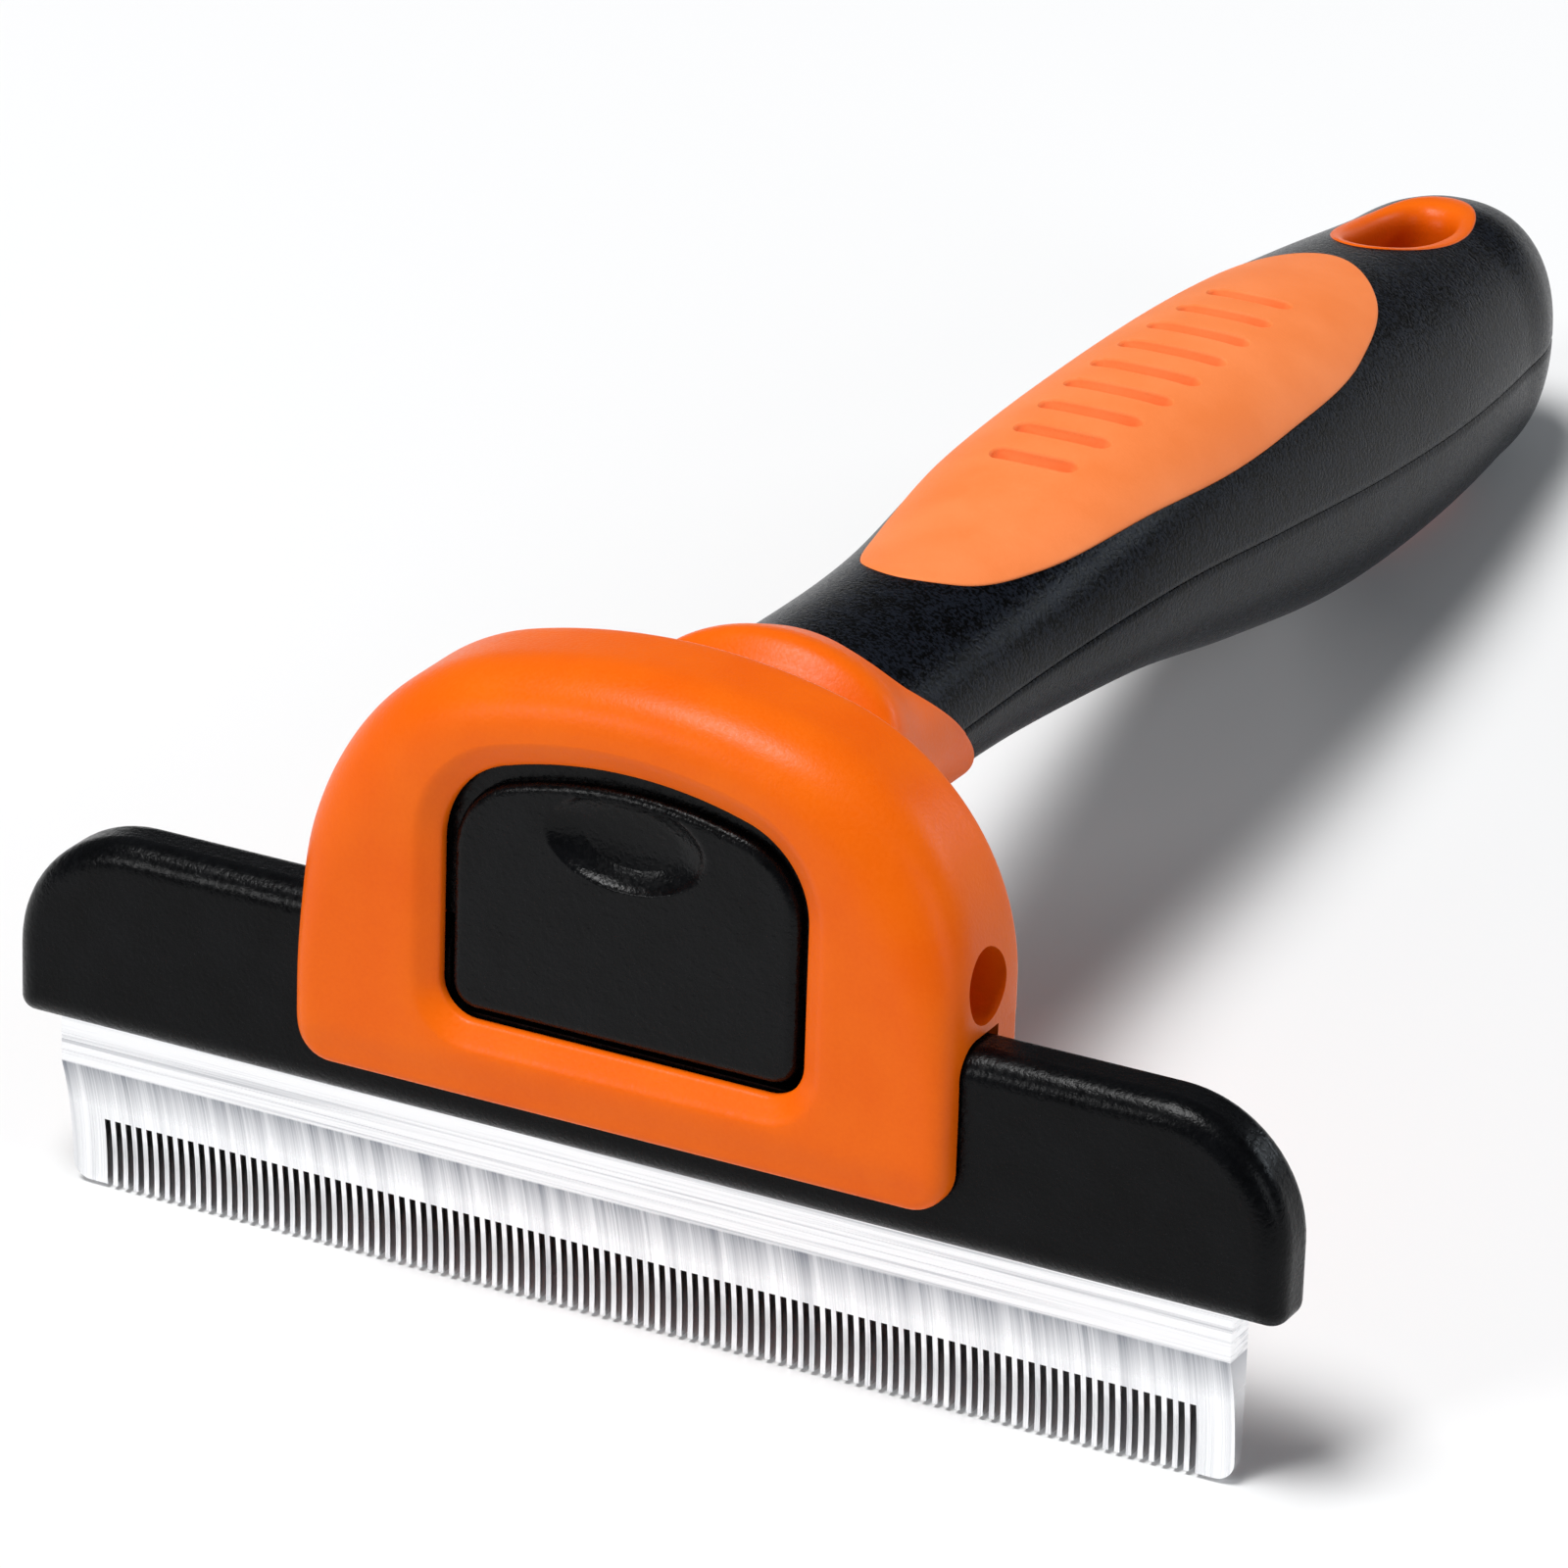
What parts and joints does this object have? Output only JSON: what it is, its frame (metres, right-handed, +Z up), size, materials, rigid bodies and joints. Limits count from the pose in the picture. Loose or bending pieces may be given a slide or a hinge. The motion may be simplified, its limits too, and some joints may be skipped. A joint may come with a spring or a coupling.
{
  "type": "deshedding tool",
  "caption": "Hand deshedding tool: wide fine-toothed steel blade in a black carrier, orange D-shaped head with a rocker release button, and a contoured two-shell handle with a hanging eyelet.",
  "frame": {"origin": "bottom centre of the tool's box as it stands on its teeth and the butt of its handle", "axes": "+Y from the blade to the handle's butt, +Z up, +X along the blade to the right as the button is faced from -Y"},
  "size_m": [0.11, 0.1606, 0.0544],
  "materials": {
    "blade_steel": "brushed along the spine, ground across the hollow",
    "fastener_steel": "zinc bright",
    "spring_steel": "drawn wire and ground pin",
    "carrier_black": "satin moulded black",
    "button_black": "fine leather grain",
    "head_orange": "satin moulded orange",
    "grip_black": "fine sand grain",
    "inlay_orange": "soft matte orange",
    "core_black": "plain moulded"
  },
  "bodies": {
    "blade_head": {"blade": "blade_steel", "carrier_front_cover": "carrier_black", "carrier_rear_cover": "carrier_black", "blade_screws": "fastener_steel"},
    "handle": {"head_housing": "head_orange", "head_back_plate": "head_orange", "head_screws": "fastener_steel", "button_pivot_pin": "spring_steel", "button_spring_left": "spring_steel", "button_spring_right": "spring_steel", "neck_collar_upper": "head_orange", "neck_collar_lower": "head_orange", "handle_core": "core_black", "handle_upper_shell": "grip_black", "handle_lower_shell": "grip_black", "grip_inlay": "inlay_orange", "hang_eyelet": "head_orange", "handle_screws": "fastener_steel"},
    "button": {"release_button": "button_black"}
  },
  "joints": [
    {"name": "head_release", "type": "slide", "parent": "blade_head", "child": "handle", "axis": [0, 0.1681, 0.9858], "range_m": [0, 0.032]},
    {"name": "button_press", "type": "hinge", "parent": "handle", "child": "button", "pos_m": [0, -0.07183, 0.0343], "axis": [-1, 0, 0], "range_deg": [0, 8], "stiffness_Nm_per_rad": 0.25, "springref_deg": -4.58, "deforming": ["button_spring_left", "button_spring_right"]}
  ]
}
